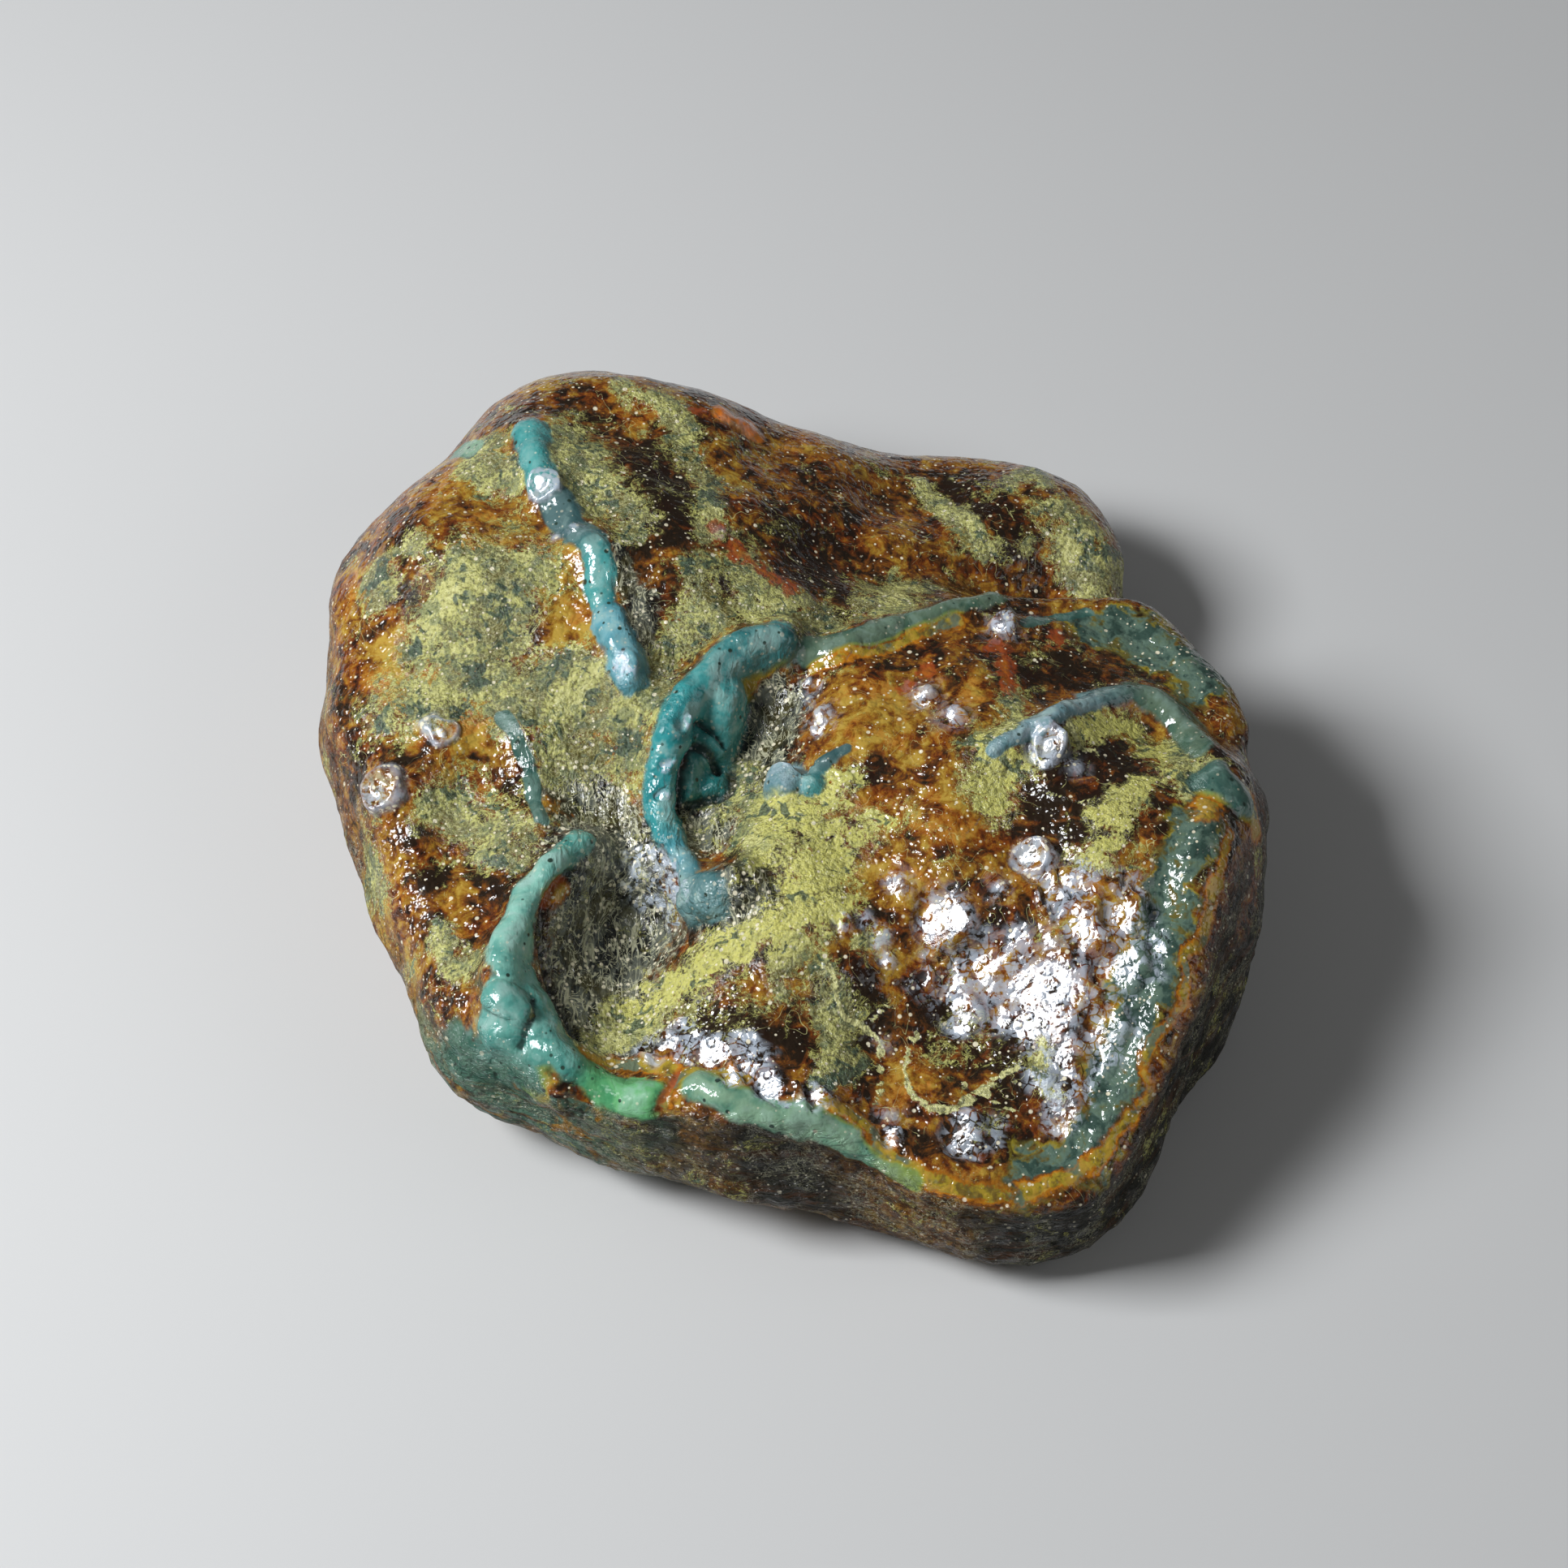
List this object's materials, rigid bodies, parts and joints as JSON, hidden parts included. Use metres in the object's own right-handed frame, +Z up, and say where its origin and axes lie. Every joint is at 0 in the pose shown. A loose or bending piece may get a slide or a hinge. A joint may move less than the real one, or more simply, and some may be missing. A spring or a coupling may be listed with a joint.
{
  "type": "rough amber nugget",
  "caption": "Loose lumpy amber stone with a worn flat foot: two lobes and a knob round a hollow, with rounded worm-like ridges and drops on top.",
  "frame": {"origin": "middle of the stone's footprint box, on the surface that it rests on", "axes": "+Z up from the worn flat foot, +Y to the stone's back along its longest extent, +X to its right"},
  "size_m": [0.061, 0.0662, 0.0197],
  "materials": {
    "amber": "opaque brown and ochre with olive mottling and turquoise ridges, wet gloss"
  },
  "bodies": {
    "root": {"amber_nugget": "amber"}
  },
  "joints": []
}
